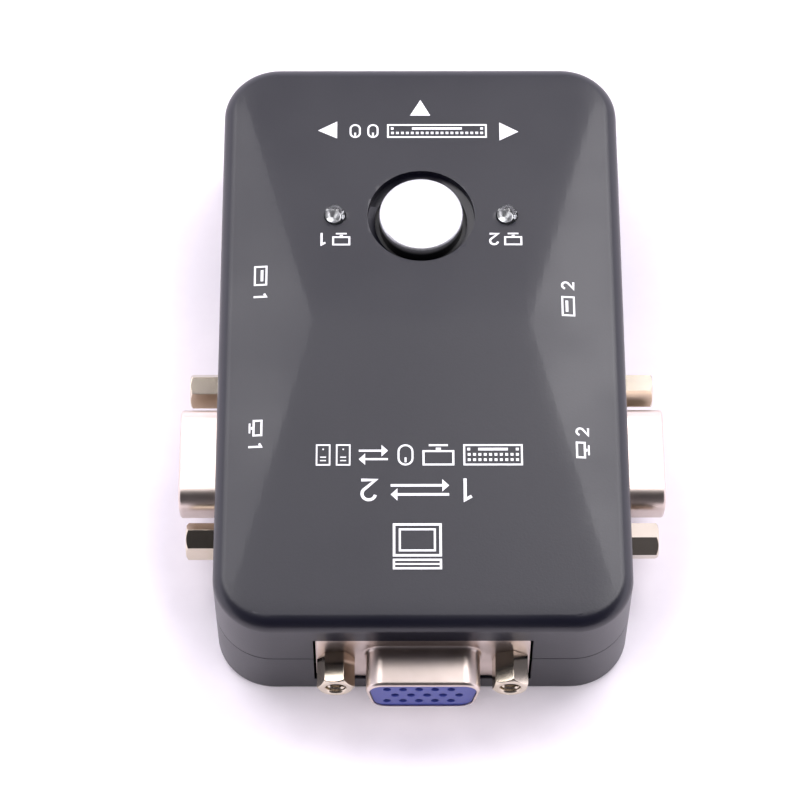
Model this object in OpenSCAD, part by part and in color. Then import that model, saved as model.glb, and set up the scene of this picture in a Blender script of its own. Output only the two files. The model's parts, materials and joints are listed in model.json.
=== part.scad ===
// Desktop KVM switch for two computers, with one push button.
// The case lies flat. +Z is up, -Y is the monitor end and +Y is the console end.
// The origin is the middle of the case's underside. Sizes are in millimetres.

/* [Case] */
// Width of the case, between the two computer sides
case_w = 60; // [60:1:66]
// Length of the case, from the monitor end to the console end
case_l = 95; // [95:1:104]
// Height of the case at its rim
rim_z = 21.5; // [21.5:0.5:24]
// Rise of the top's ridge above the rim
crown_h = 1.2; // [0.8:0.1:1.5]
// Distance of the ridge from the middle, towards the console end
ridge_y = 1.5; // [0:0.5:4]
// Half of the ridge's width, between the two side facets
ridge_half_w = 16; // [14:0.5:18]
// Radius of the case's upright corners
corner_r = 8.5; // [8:0.5:9]
// Radius of the top edge
top_round = 2; // [1.5:0.1:2.5]
// Radius of the bottom edge
base_round = 1; // [0.5:0.1:1.5]
// Thickness of the walls
wall = 1.8; // [1.6:0.1:2]
// Thickness of the floor
floor_t = 1.6; // [1.4:0.1:1.6]
// Height of the parting line between the case halves
seam_z = 10.6; // [10:0.1:10.8]

/* [Button and lights] */
// Distance of the button from the middle, towards the console end
button_y = 20; // [19:0.1:21]
// Diameter of the button's cap
button_d = 12.6; // [12:0.1:13]
// Diameter of the upper well round the cap
well_d = 16.1; // [15.5:0.1:16.5]
// Diameter of the hole that the cap comes through
button_hole_d = 13.9; // [13.5:0.1:14.2]
// How far the button goes down
button_travel = 1; // [0.5:0.1:1.2]
// How far the cap stands above the top
button_proud = 0.5; // [0.3:0.1:0.8]
// Distance of each light from the button's axis
light_x = 12.9; // [12.5:0.1:14]
// Diameter of each light
light_d = 3; // [2.9:0.1:3.1]
// How far each light stands above the top
light_proud = 1.9; // [1.5:0.1:2.2]

/* [Sockets] */
// Height of the monitor sockets' axis
vga_z = 10.2; // [10:0.1:10.4]
// Place of the computers' monitor sockets along the case
side_vga_y = -16; // [-16.2:0.1:-15.4]
// Place of the computers' USB sockets along the case
side_usb_b_y = 8; // [7.5:0.1:8.5]
// Place of the side console sockets along the case
side_usb_a_y = 36; // [35.5:0.1:36.5]
// How far the metal flanges lie inside the wall's face
flange_inset = 0.3; // [0.2:0.1:0.5]
// Gap round a socket in its window
window_gap = 0.3; // [0.2:0.1:0.4]

/* [Hidden] */

$fn = 48;
eps = 0.01;

case_grey = [0.13, 0.13, 0.14];
nickel = [0.78, 0.76, 0.72];
socket_blue = [0.2, 0.25, 0.62];
board_green = [0.1, 0.35, 0.2];
contact_gold = [0.85, 0.68, 0.3];

// Parting line and inside of the case
seam_gap = 0.16;
lip_h = 1.4;
lip_t = 0.8;
lip_gap = 0.1;
ceiling_z = rim_z - 1.9;
roof_w = case_w - 2 * top_round;
roof_l = case_l - 2 * top_round;
ridge_z = rim_z + crown_h;
// Height of the top on its middle line, beside the button
button_top_z = ridge_z - crown_h * (button_y - ridge_y) / (roof_l / 2 - ridge_y);

// Circuit board, with its edge clear of the walls
board_z = floor_t + 0.8;
board_t = 1.6;
board_top = board_z + board_t;
board_edge = 1.2;

// Screw places, as [x, y]
screw_places = [[-11.7, 38], [11.7, 38], [-22, -36], [22, -36]];
screw_d = 2.6;
screw_bore_d = 2.7;
screw_head_d = 4.6;
screw_head_h = 1.3;
screw_well_d = 5.2;
screw_well_h = 1.7;
screw_tip_z = 13;
screw_point_h = 1.5;
screw_point_d = 0.6;
screw_slot_w = 0.6;
screw_slot_l = 2.6;
screw_slot_h = 0.7;
boss_d = 6;
post_d = 7.4;

// Button, and the push switch under it
ledge_z = ceiling_z + 1.2;
skirt_d = 15.6;
guide_bore_d = 16.2;
guide_d = 18.6;
guide_h = 4;
skirt_h = 1.3;
skirt_top = ceiling_z - 0.1;
button_edge_r = 0.4;
stem_d = 5;
switch_w = 8;
switch_top = board_top + 5;
cover_t = 0.3;
plunger_d = 3.4;
plunger_bore_d = 4;
plunger_floor_t = 0.4;
plunger_base = board_top + plunger_floor_t + 0.4 + button_travel;
plunger_top = switch_top + 2.5;

// Lights
light_h = 5.7;
light_rim_d = 3.8;
light_rim_h = 1;
light_hole_d = 3.3;
light_top = button_top_z + light_proud;
light_lead_gap = 2.54;
lead_w = 0.5;
pin_w = 0.5;
// How far soldered pins come out below the board
pin_out = 0.6;

// Monitor socket, standard 15-contact high-density D size
flange_w = 30.81;
flange_h = 12.55;
flange_r = 1;
flange_t = 0.8;
d_w = 16.33;
d_h = 7.9;
d_r = 2.5;
d_slope = 10;
d_reach = 6;
d_plate = 0.5;
d_edge_r = 0.4;
screw_spacing = 24.99;
vga_depth = 12;
vga_body_w = 19;
insulator_fit = 0.05;
contact_wall = 0.17;
contact_pitch = 2.29;
contact_row = 1.98;
contact_d = 0.9;
contact_hole_d = 1.15;
hex_flats = 4.75;
hex_h = 4.8;
hex_bevel = 0.35;
hex_thread_d = 2.84;
hex_thread_depth = 4.4;
hex_mouth_d = 3.3;
hex_mouth_h = 0.25;
shank_d = 2.8;
shank_h = 5;
shank_hole_d = 3.2;
bracket_w = 5;
bracket_t = 1;
bracket_foot = 8;
tail_w = 0.4;
tail_pitch = 1.6;

// USB type A socket, standard size
usb_a_in_w = 12.5;
usb_a_in_h = 5.12;
usb_plate = 0.3;
usb_fit = 0.05;
usb_a_lip_w = 14.5;
usb_a_lip_h = 7.1;
usb_a_depth = 14;
usb_a_z = board_top + usb_a_lip_h / 2;
usb_leg_t = 0.3;
usb_leg_l = 2;
usb_leg_x = usb_a_in_w / 2 + usb_leg_t / 2;
usb_leg_y = 5;
tongue_w = 11.1;
tongue_t = 1.84;
tongue_reach = 8.9;
tongue_inset = 1.2;
tongue_z = 0.25;
// USB type B socket, standard size
usb_b_w = 12;
usb_b_h = 10.8;
usb_b_in_w = 8.45;
usb_b_in_h = 7.78;
usb_b_bevel = 1.6;
usb_b_depth = 16;
usb_b_z = board_top + usb_b_h / 2;
usb_b_tongue_w = 5.6;
usb_b_tongue_h = 3.2;
usb_b_well = 10;

// Places of the parts on the board
controller_at = [0, 2, 0];
switch_chips_at = [[-10, -24, 0], [10, -24, 0]];
chip_w = 5.4;
chip_t = 1.6;
chip_lift = 0.2;
leg_w = 0.4;
leg_t = 0.2;
leg_out = 0.7;
leg_z = 0.9;
leg_foot = 0.65;
controller_l = 12.8;
switch_chip_l = 8;
crystal_at = [7.5, 3];
capacitors_at = [[-7.5, 3], [0, -13]];

// ---------- Shared shapes ----------

// Rectangle with round corners, centred
module round_rect(w, l, r) {
    square([w - 2 * r, l], center = true);
    square([w, l - 2 * r], center = true);
    for (x = [-1, 1], y = [-1, 1])
        translate([x * (w / 2 - r), y * (l / 2 - r)]) circle(r = r);
}

// Upright section of the case, w wide, from z0 to z1, with rounded edges
module case_section(w, z0, z1, r0, r1) {
    translate([-w / 2, z0 + r0]) square([w, z1 - z0 - r0 - r1]);
    translate([-w / 2 + r0, z0]) square([w - 2 * r0, z1 - z0 - r1]);
    translate([-w / 2 + r1, z0 + r0]) square([w - 2 * r1, z1 - z0 - r0]);
    for (x = [-1, 1]) {
        if (r0 > 0) translate([x * (w / 2 - r0), z0 + r0]) circle(r = r0);
        if (r1 > 0) translate([x * (w / 2 - r1), z1 - r1]) circle(r = r1);
    }
}

// Solid block of the case between two heights: two crossed sections and four round corners
module case_block(z0, z1, r0, r1) {
    rotate([90, 0, 0]) linear_extrude(case_l - 2 * corner_r, center = true)
        case_section(case_w, z0, z1, r0, r1);
    rotate([90, 0, 90]) linear_extrude(case_w - 2 * corner_r, center = true)
        case_section(case_l, z0, z1, r0, r1);
    for (x = [-1, 1], y = [-1, 1])
        translate([x * (case_w / 2 - corner_r), y * (case_l / 2 - corner_r)])
            rotate_extrude($fn = 96) intersection() {
                case_section(2 * corner_r, z0, z1, r0, r1);
                translate([0, z0]) square([corner_r, z1 - z0]);
            }
}

// Upright prism with the case's outline, moved in by a distance
module case_prism(inset, z0, z1) {
    translate([0, 0, z0]) linear_extrude(z1 - z0)
        round_rect(case_w - 2 * inset, case_l - 2 * inset, corner_r - inset, $fn = 96);
}

// Shallow hip roof: a long facet towards each end and a triangular one on each side
module roof() {
    base = rim_z - top_round;
    intersection() {
        case_prism(top_round, base, ridge_z + 1);
        rotate([90, 0, 0]) linear_extrude(case_l, center = true) polygon([
            [-roof_w / 2, base], [-roof_w / 2, rim_z], [-ridge_half_w, ridge_z],
            [ridge_half_w, ridge_z], [roof_w / 2, rim_z], [roof_w / 2, base],
        ]);
        rotate([90, 0, 90]) linear_extrude(case_w, center = true) polygon([
            [-roof_l / 2, base], [-roof_l / 2, rim_z], [ridge_y, ridge_z],
            [roof_l / 2, rim_z], [roof_l / 2, base],
        ]);
    }
}

// Each socket is drawn facing -Y with its face at the origin, then put in its wall
module at_end(y_sign, z) {
    rotate([0, 0, y_sign > 0 ? 180 : 0]) translate([0, -case_l / 2 + flange_inset, z]) children();
}
module at_side(x_sign, y, z) {
    translate([x_sign * (case_w / 2 - flange_inset), y, z]) rotate([0, 0, x_sign * 90]) children();
}
module on_walls_vga() {
    at_end(-1, vga_z) children();
    for (x = [-1, 1]) at_side(x, side_vga_y, vga_z) children();
}
module on_walls_usb_a() {
    at_end(1, usb_a_z) children();
    for (x = [-1, 1]) at_side(x, side_usb_a_y, usb_a_z) children();
}
module on_walls_usb_b() {
    for (x = [-1, 1]) at_side(x, side_usb_b_y, usb_b_z) children();
}

// Flat plate facing -Y, from y to y + depth, with its outline in X and Z
module facing(y, depth) {
    translate([0, y + depth, 0]) rotate([90, 0, 0]) linear_extrude(depth) children();
}

// Windows that the sockets look out of, cut through both case halves
module windows() {
    cut = wall + 1;
    on_walls_vga() facing(-1, cut)
        square([flange_w + 2 * window_gap, flange_h + 2 * window_gap], center = true);
    on_walls_usb_a() facing(-1, cut)
        square([usb_a_lip_w + 2 * window_gap, usb_a_lip_h + 2 * window_gap], center = true);
    on_walls_usb_b() facing(-1, cut)
        square([usb_b_w + 2 * window_gap, usb_b_h + 2 * window_gap], center = true);
}

// ---------- Case ----------

module top_shell() {
    z0 = seam_z + seam_gap / 2;
    color(case_grey) difference() {
        union() {
            difference() {
                union() {
                    case_block(z0, rim_z, 0, top_round);
                    roof();
                }
                case_prism(wall, z0 - 1, ceiling_z);
            }
            for (p = screw_places) translate([p[0], p[1], board_top])
                cylinder(h = ceiling_z - board_top + eps, d = boss_d);
            translate([0, button_y, ceiling_z - guide_h])
                cylinder(h = guide_h + eps, d = guide_d);
        }
        translate([0, button_y, ledge_z]) cylinder(h = 5, d = well_d, $fn = 96);
        translate([0, button_y, ceiling_z - 1]) cylinder(h = 5, d = button_hole_d, $fn = 96);
        translate([0, button_y, ceiling_z - guide_h - 1])
            cylinder(h = guide_h + 1, d = guide_bore_d, $fn = 96);
        for (x = [-1, 1]) translate([x * light_x, button_y, ceiling_z - 1])
            cylinder(h = 6, d = light_hole_d);
        for (p = screw_places) translate([p[0], p[1], board_top - 1])
            cylinder(h = screw_tip_z - board_top + 1.5, d = screw_bore_d);
        windows();
    }
}

module bottom_shell() {
    z1 = seam_z - seam_gap / 2;
    lip_root = 2;
    color(case_grey) difference() {
        union() {
            difference() {
                case_block(0, z1, base_round, 0);
                case_prism(wall, floor_t, z1 + 1);
            }
            // Lip that locates the top shell from inside
            difference() {
                case_prism(wall + lip_gap, z1 - lip_root, z1 + lip_h);
                case_prism(wall + lip_gap + lip_t, z1 - lip_root - 1, z1 + lip_h + 1);
            }
            // Rib that joins the lip to the wall
            difference() {
                case_prism(wall - eps, z1 - lip_root, z1 - 0.6);
                case_prism(wall + lip_gap + lip_t / 2, z1 - lip_root - 1, z1);
            }
            for (p = screw_places) translate([p[0], p[1], eps])
                cylinder(h = board_z - eps, d = post_d);
        }
        for (p = screw_places) {
            translate([p[0], p[1], -1]) cylinder(h = board_z + 2, d = screw_bore_d + 0.3);
            translate([p[0], p[1], -1]) cylinder(h = screw_well_h + 1, d = screw_well_d);
        }
        windows();
        // Room behind the windows for the sockets' bodies
        on_walls_vga() facing(0, 4) square([flange_w + 2 * window_gap, flange_h], center = true);
        on_walls_usb_a() facing(0, 4) square([usb_a_lip_w, usb_a_lip_h], center = true);
        on_walls_usb_b() facing(0, 4) square([usb_b_w + 2 * window_gap, usb_b_h], center = true);
    }
}

// Four pan-head self-tapping screws, driven in from below
module case_screws() {
    head_z = screw_well_h - screw_head_h;
    point_z = screw_tip_z - screw_point_h;
    color(nickel) for (p = screw_places) translate([p[0], p[1], 0]) difference() {
        union() {
            translate([0, 0, head_z]) cylinder(h = screw_head_h, d = screw_head_d);
            translate([0, 0, head_z]) cylinder(h = point_z - head_z, d = screw_d);
            translate([0, 0, point_z - eps])
                cylinder(h = screw_point_h, d1 = screw_d, d2 = screw_point_d);
        }
        for (turn = [0, 90]) rotate([0, 0, turn]) translate([0, 0, head_z])
            cube([screw_slot_l, screw_slot_w, 2 * screw_slot_h], center = true);
    }
}

// ---------- Circuit board and what is on it ----------

module circuit_board() {
    color(board_green) difference() {
        translate([0, 0, board_z]) linear_extrude(board_t)
            round_rect(case_w - 2 * (wall + board_edge), case_l - 2 * (wall + board_edge), 4);
        for (p = screw_places) translate([p[0], p[1], board_z - 1])
            cylinder(h = board_t + 2, d = screw_d + 0.6);
        pin_holes();
    }
}

// Slots in the board for everything soldered through it
module pin_holes() {
    for (x = [-1, 1], side = [-1, 1])
        slot(x * light_x + side * light_lead_gap / 2, button_y, lead_w, lead_w);
    for (x = [-1, 1], y = [-1, 0, 1])
        slot(x * (switch_w / 2 + 0.3), button_y + y * 2.5, pin_w, pin_w);
    on_walls_vga() translate([0, 0, -vga_z])
        for (p = contact_places()) slot(p[0], tail_y(p[1]) + tail_w / 2, tail_w, tail_w);
    on_walls_usb_a() translate([0, 0, -usb_a_z])
        for (x = [-1, 1]) slot(x * usb_leg_x, usb_leg_y + usb_leg_l / 2, usb_leg_t, usb_leg_l);
}
module slot(x, y, w, l) {
    gap = 0.1;
    translate([x - w / 2 - gap, y - l / 2 - gap, board_z - 1])
        cube([w + 2 * gap, l + 2 * gap, board_t + 2]);
}

module switch_body() {
    color("black") difference() {
        translate([-switch_w / 2, button_y - switch_w / 2, board_top])
            cube([switch_w, switch_w, switch_top - cover_t - board_top]);
        translate([0, button_y, board_top + plunger_floor_t]) cylinder(h = 6, d = plunger_bore_d);
    }
}

module switch_cover() {
    tab_w = 3;
    tab_z = board_top + 1;
    color(nickel) difference() {
        union() {
            translate([-switch_w / 2, button_y - switch_w / 2, switch_top - cover_t])
                cube([switch_w, switch_w, cover_t]);
            for (y = [-1, 1])
                translate([-tab_w / 2, button_y + y * (switch_w + cover_t) / 2 - cover_t / 2, tab_z])
                    cube([tab_w, cover_t, switch_top - tab_z]);
        }
        translate([0, button_y, board_top]) cylinder(h = 9, d = plunger_bore_d + 0.4);
    }
}

module switch_plunger() {
    color("ivory") translate([0, button_y, plunger_base])
        cylinder(h = plunger_top - plunger_base, d = plunger_d);
}

module switch_pins() {
    color(nickel) for (x = [-1, 1], y = [-1, 0, 1])
        translate([x * (switch_w / 2 + 0.3) - pin_w / 2, button_y + y * 2.5 - pin_w / 2,
            board_z - pin_out])
            cube([pin_w, pin_w, board_t + pin_out + 1.5]);
}

// Cap with a wider skirt that the case holds in, hollow below, on a middle stem
module select_button() {
    top = button_top_z + button_proud;
    base = skirt_top - skirt_h;
    r = button_d / 2;
    color([0.82, 0.82, 0.83]) translate([0, button_y, 0]) rotate_extrude($fn = 128) {
        difference() {
            union() {
                translate([0, base]) square([skirt_d / 2, skirt_h]);
                translate([0, base]) square([r, top - base - button_edge_r]);
                translate([0, base]) square([r - button_edge_r, top - base]);
                translate([r - button_edge_r, top - button_edge_r]) circle(r = button_edge_r);
            }
            translate([0, base - 1]) square([r - 1.2, top - base - 0.6]);
        }
        translate([0, plunger_top]) square([stem_d / 2, top - 1 - plunger_top]);
    }
}

// Clear light: a rim, a straight body and a round dome
module led(x) {
    r = light_d / 2;
    base = light_top - light_h;
    color([0.9, 0.9, 0.9, 0.6]) translate([x, button_y, 0]) rotate_extrude() intersection() {
        union() {
            translate([0, base]) square([light_rim_d / 2, light_rim_h]);
            translate([0, base]) square([r, light_h - r]);
            translate([0, light_top - r]) circle(r = r);
        }
        translate([0, base]) square([light_rim_d / 2, light_h]);
    }
}
module led_1() led(-light_x);
module led_2() led(light_x);

module led_leads() {
    top = light_top - light_h;
    color(nickel) for (x = [-1, 1], side = [-1, 1])
        translate([x * light_x + side * light_lead_gap / 2 - lead_w / 2, button_y - lead_w / 2,
            board_z - pin_out])
            cube([lead_w, lead_w, top - board_z + pin_out]);
}

// Body of a small-outline chip, just clear of the board
module chip(w, l) {
    translate([-w / 2, -l / 2, board_top + chip_lift]) cube([w, l, chip_t]);
}

// Two rows of bent chip legs, along both long sides
module legs(w, l, count) {
    pitch = l / count;
    for (side = [0, 1], i = [0:count - 1]) mirror([side, 0, 0])
        translate([w / 2, -l / 2 + (i + 0.5) * pitch - leg_w / 2, board_top]) {
            translate([0, 0, leg_z]) cube([leg_out, leg_w, leg_t]);
            translate([leg_out - leg_t, 0, 0]) cube([leg_t, leg_w, leg_z + leg_t]);
            translate([leg_out - leg_t, 0, 0]) cube([leg_foot, leg_w, leg_t]);
        }
}

module controller_chip() {
    color([0.08, 0.08, 0.08]) translate(controller_at) chip(chip_w, controller_l);
}
module switch_chips() {
    color([0.08, 0.08, 0.08]) for (p = switch_chips_at) translate(p) chip(chip_w, switch_chip_l);
}
module chip_legs() {
    color(nickel) {
        translate(controller_at) legs(chip_w, controller_l, 10);
        for (p = switch_chips_at) translate(p) legs(chip_w, switch_chip_l, 8);
    }
}

// Low metal-can crystal with round ends
module crystal() {
    w = 4.6;
    l = 11;
    rim = 0.4;
    can_h = 3.4;
    color(nickel) translate([crystal_at[0], crystal_at[1], board_top]) {
        linear_extrude(rim) round_rect(w, l, w / 2 - eps);
        linear_extrude(can_h) round_rect(w - 2 * rim, l - 2 * rim, w / 2 - rim - eps);
    }
}

module capacitors() {
    can_d = 5;
    can_h = 5.4;
    color([0.2, 0.2, 0.25]) for (p = capacitors_at) translate([p[0], p[1], board_top])
        cylinder(h = can_h, d = can_d);
}

// Two rows of four chip resistors
module resistors() {
    size = [1.6, 0.9, 0.5];
    row_x = 4.5;
    first_y = -8;
    pitch = 2.2;
    color("black") for (x = [-1, 1], i = [0:3])
        translate([x * row_x - size[0] / 2, first_y - i * pitch, board_top]) cube(size);
}

// ---------- Monitor sockets ----------

// Keystone outline of the plug's shell, wide side up, with round corners
module d_outline(inset) {
    r = d_r - inset;
    half_h = d_h / 2 - d_r;
    half_w = d_w / 2 - d_r;
    lean = half_h * tan(d_slope);
    hull() for (x = [-1, 1], z = [-1, 1])
        translate([x * (half_w + z * lean - lean), z * half_h]) circle(r = r);
}

// Flange with the shell that the cable's plug slides over
module vga_shell() {
    difference() {
        union() {
            facing(0, flange_t) round_rect(flange_w, flange_h, flange_r);
            facing(-d_reach + d_edge_r, d_reach) d_outline(0);
            facing(-d_reach + d_edge_r * 0.3, 1) d_outline(d_edge_r * 0.3);
            facing(-d_reach, 1) d_outline(d_edge_r);
        }
        facing(-d_reach - 1, d_reach + flange_t + 2) d_outline(d_plate);
        for (x = [-1, 1]) translate([x * screw_spacing / 2, 2, 0])
            rotate([90, 0, 0]) cylinder(h = 4, d = shank_hole_d);
    }
}

// Contact places, as [x, z]: three rows of five, the middle row half a pitch across
function contact_places() = [for (row = [-1, 0, 1], i = [-2:2])
    [i * contact_pitch + (row == 0 ? 1 : -1) * contact_pitch / 4, row * contact_row]];

// Distance of a contact's tail behind the flange: the lower rows come down first
function tail_y(z) = vga_depth + 0.4 + (round(z / contact_row) + 1) * tail_pitch;

// Front half of the insulator, which fills the shell and has a hole for each pin
module vga_insulator() {
    difference() {
        facing(-d_reach + 0.2, d_reach - 0.2 + flange_t) d_outline(d_plate + insulator_fit);
        for (p = contact_places()) translate([p[0], 2, p[1]])
            rotate([90, 0, 0]) cylinder(h = d_reach + 3, d = contact_hole_d);
    }
}

// Rear half of the insulator, a block on the board with a channel for each contact
module vga_body() {
    h = flange_h - 2;
    channel = tail_w + 0.1;
    difference() {
        translate([-vga_body_w / 2, flange_t + insulator_fit, board_top - vga_z])
            cube([vga_body_w, vga_depth - flange_t - insulator_fit, h]);
        for (p = contact_places()) translate([p[0] - channel / 2, 0, p[1] - channel / 2])
            cube([channel, vga_depth + 1, channel]);
    }
}

// Socket contacts, each a tube at the back of its hole with a tail that goes through the board
module vga_contacts() {
    for (p = contact_places()) {
        back = tail_y(p[1]);
        translate([p[0], 0, p[1]]) {
            rotate([90, 0, 0]) difference() {
                cylinder(h = d_reach - 1.2, d = contact_d);
                translate([0, 0, 1]) cylinder(h = d_reach, d = contact_d - 2 * contact_wall);
            }
            translate([-tail_w / 2, -1, -tail_w / 2]) cube([tail_w, back + 1, tail_w]);
            translate([-tail_w / 2, back, board_z - pin_out - vga_z - p[1]])
                cube([tail_w, tail_w, p[1] + vga_z - board_z + pin_out + tail_w / 2]);
        }
    }
}

// Angle brackets behind the flange that take the jackscrews and stand on the board
module vga_brackets() {
    base = board_top - vga_z;
    for (x = [-1, 1]) translate([x * screw_spacing / 2, flange_t, 0]) difference() {
        union() {
            translate([-bracket_w / 2, 0, base])
                cube([bracket_w, bracket_t, flange_h / 2 - base - 1]);
            translate([-bracket_w / 2, 0, base]) cube([bracket_w, bracket_foot, bracket_t]);
        }
        translate([0, bracket_t + 1, 0]) rotate([90, 0, 0])
            cylinder(h = bracket_t + 2, d = shank_hole_d);
    }
}

// Hexagon jackscrews, tapped from the front, with a threaded shank through the flange
module vga_jackscrews(turns) {
    for (i = [0, 1]) translate([(i * 2 - 1) * screw_spacing / 2, 0, 0]) rotate([90, 0, 0])
        difference() {
            union() {
                intersection() {
                    rotate([0, 0, 30 + turns[i]])
                        cylinder(h = hex_h, r = hex_flats / sqrt(3), $fn = 6);
                    rotate_extrude() polygon([
                        [0, 0], [hex_flats / sqrt(3) + eps, 0],
                        [hex_flats / sqrt(3) + eps, hex_h - hex_bevel],
                        [hex_flats / 2 - 0.1, hex_h], [0, hex_h],
                    ]);
                }
                translate([0, 0, -shank_h]) cylinder(h = shank_h + eps, d = shank_d);
            }
            translate([0, 0, hex_h - hex_thread_depth])
                cylinder(h = hex_thread_depth + 1, d = hex_thread_d);
            translate([0, 0, hex_h - hex_mouth_h])
                cylinder(h = hex_mouth_h + eps, d1 = hex_thread_d, d2 = hex_mouth_d);
        }
}

module at_monitor() at_end(-1, vga_z) children();
module at_pc1() at_side(-1, side_vga_y, vga_z) children();
module at_pc2() at_side(1, side_vga_y, vga_z) children();

module monitor_vga_shell() color(nickel) at_monitor() vga_shell();
module monitor_vga_insulator() color(socket_blue) at_monitor() vga_insulator();
module monitor_vga_body() color(socket_blue) at_monitor() vga_body();
module monitor_vga_contacts() color(contact_gold) at_monitor() vga_contacts();
module monitor_vga_brackets() color(nickel) at_monitor() vga_brackets();
module monitor_vga_jackscrews() color(nickel) at_monitor() vga_jackscrews([35, -9]);
module pc1_vga_shell() color(nickel) at_pc1() vga_shell();
module pc1_vga_insulator() color(socket_blue) at_pc1() vga_insulator();
module pc1_vga_body() color(socket_blue) at_pc1() vga_body();
module pc1_vga_contacts() color(contact_gold) at_pc1() vga_contacts();
module pc1_vga_brackets() color(nickel) at_pc1() vga_brackets();
module pc1_vga_jackscrews() color(nickel) at_pc1() vga_jackscrews([24, 12]);
module pc2_vga_shell() color(nickel) at_pc2() vga_shell();
module pc2_vga_insulator() color(socket_blue) at_pc2() vga_insulator();
module pc2_vga_body() color(socket_blue) at_pc2() vga_body();
module pc2_vga_contacts() color(contact_gold) at_pc2() vga_contacts();
module pc2_vga_brackets() color(nickel) at_pc2() vga_brackets();
module pc2_vga_jackscrews() color(nickel) at_pc2() vga_jackscrews([15, 27]);

// ---------- USB sockets ----------

// Folded steel shell of a type A socket, with a flared lip at its mouth
module usb_a_shell() {
    out_w = usb_a_in_w + 2 * usb_plate;
    out_h = usb_a_in_h + 2 * usb_plate;
    difference() {
        union() {
            facing(0, usb_plate) round_rect(usb_a_lip_w, usb_a_lip_h, 0.5);
            facing(0, usb_a_depth) square([out_w, out_h], center = true);
            for (x = [-1, 1])
                translate([x * usb_leg_x - usb_leg_t / 2, usb_leg_y, board_z - pin_out - usb_a_z])
                    cube([usb_leg_t, usb_leg_l, usb_a_z - board_z - 1]);
        }
        facing(-1, usb_a_depth + 1 - usb_plate) square([usb_a_in_w, usb_a_in_h], center = true);
    }
}

module usb_a_tongue() {
    depth = usb_a_depth - usb_plate - usb_fit - tongue_inset;
    facing(tongue_inset, depth) translate([-tongue_w / 2, tongue_z]) square([tongue_w, tongue_t]);
    facing(tongue_inset + tongue_reach, depth - tongue_reach)
        square([usb_a_in_w - 2 * usb_fit, usb_a_in_h - 2 * usb_fit], center = true);
}

// Four flat contacts under the tongue
module usb_a_contacts() {
    size = [1, tongue_reach - 1, 0.15];
    for (x = [-3.5, -1, 1, 3.5])
        translate([x - size[0] / 2, 2, tongue_z - size[2] - eps]) cube(size);
}

// Outline of a type B opening, square below with bevelled top corners
module usb_b_mouth(grow) {
    w = usb_b_in_w / 2 + grow;
    h = usb_b_in_h / 2 + grow;
    polygon([
        [-w, -h], [w, -h], [w, h - usb_b_bevel], [w - usb_b_bevel, h],
        [-w + usb_b_bevel, h], [-w, h - usb_b_bevel],
    ]);
}

// Steel shell of a type B socket
module usb_b_shell() {
    difference() {
        facing(0, usb_b_depth) square([usb_b_w, usb_b_h], center = true);
        facing(usb_plate, usb_b_depth)
            square([usb_b_w - 2 * usb_plate, usb_b_h - 2 * usb_plate], center = true);
        facing(-1, 2) usb_b_mouth(0.2);
    }
}

module usb_b_insulator() {
    inset = usb_plate + usb_fit;
    difference() {
        facing(inset, usb_b_depth - inset)
            square([usb_b_w - 2 * inset, usb_b_h - 2 * inset], center = true);
        facing(-1, usb_b_well + 1) usb_b_mouth(0);
    }
    facing(2, usb_b_well - 0.5) square([usb_b_tongue_w, usb_b_tongue_h], center = true);
}

// Two contacts above the tongue and two below
module usb_b_contacts() {
    size = [1, 7, 0.2];
    for (x = [-1, 1], z = [-1, 1])
        translate([x * 1.25 - size[0] / 2, 2.8, z * (usb_b_tongue_h / 2 + 0.11) - size[2] / 2])
            cube(size);
}

module at_end_usb() at_end(1, usb_a_z) children();
module at_left_usb() at_side(-1, side_usb_a_y, usb_a_z) children();
module at_right_usb() at_side(1, side_usb_a_y, usb_a_z) children();
module at_pc1_usb() at_side(-1, side_usb_b_y, usb_b_z) children();
module at_pc2_usb() at_side(1, side_usb_b_y, usb_b_z) children();

module end_usb_shell() color(nickel) at_end_usb() usb_a_shell();
module end_usb_tongue() color("ivory") at_end_usb() usb_a_tongue();
module end_usb_contacts() color(contact_gold) at_end_usb() usb_a_contacts();
module left_usb_shell() color(nickel) at_left_usb() usb_a_shell();
module left_usb_tongue() color("ivory") at_left_usb() usb_a_tongue();
module left_usb_contacts() color(contact_gold) at_left_usb() usb_a_contacts();
module right_usb_shell() color(nickel) at_right_usb() usb_a_shell();
module right_usb_tongue() color("ivory") at_right_usb() usb_a_tongue();
module right_usb_contacts() color(contact_gold) at_right_usb() usb_a_contacts();
module pc1_usb_shell() color(nickel) at_pc1_usb() usb_b_shell();
module pc1_usb_insulator() color("ivory") at_pc1_usb() usb_b_insulator();
module pc1_usb_contacts() color(contact_gold) at_pc1_usb() usb_b_contacts();
module pc2_usb_shell() color(nickel) at_pc2_usb() usb_b_shell();
module pc2_usb_insulator() color("ivory") at_pc2_usb() usb_b_insulator();
module pc2_usb_contacts() color(contact_gold) at_pc2_usb() usb_b_contacts();

top_shell();
bottom_shell();
case_screws();
circuit_board();
select_button();
switch_body();
switch_cover();
switch_plunger();
switch_pins();
led_1();
led_2();
led_leads();
monitor_vga_shell();
monitor_vga_insulator();
monitor_vga_body();
monitor_vga_contacts();
monitor_vga_brackets();
monitor_vga_jackscrews();
pc1_vga_shell();
pc1_vga_insulator();
pc1_vga_body();
pc1_vga_contacts();
pc1_vga_brackets();
pc1_vga_jackscrews();
pc2_vga_shell();
pc2_vga_insulator();
pc2_vga_body();
pc2_vga_contacts();
pc2_vga_brackets();
pc2_vga_jackscrews();
end_usb_shell();
end_usb_tongue();
end_usb_contacts();
left_usb_shell();
left_usb_tongue();
left_usb_contacts();
right_usb_shell();
right_usb_tongue();
right_usb_contacts();
pc1_usb_shell();
pc1_usb_insulator();
pc1_usb_contacts();
pc2_usb_shell();
pc2_usb_insulator();
pc2_usb_contacts();
controller_chip();
switch_chips();
chip_legs();
crystal();
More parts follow.
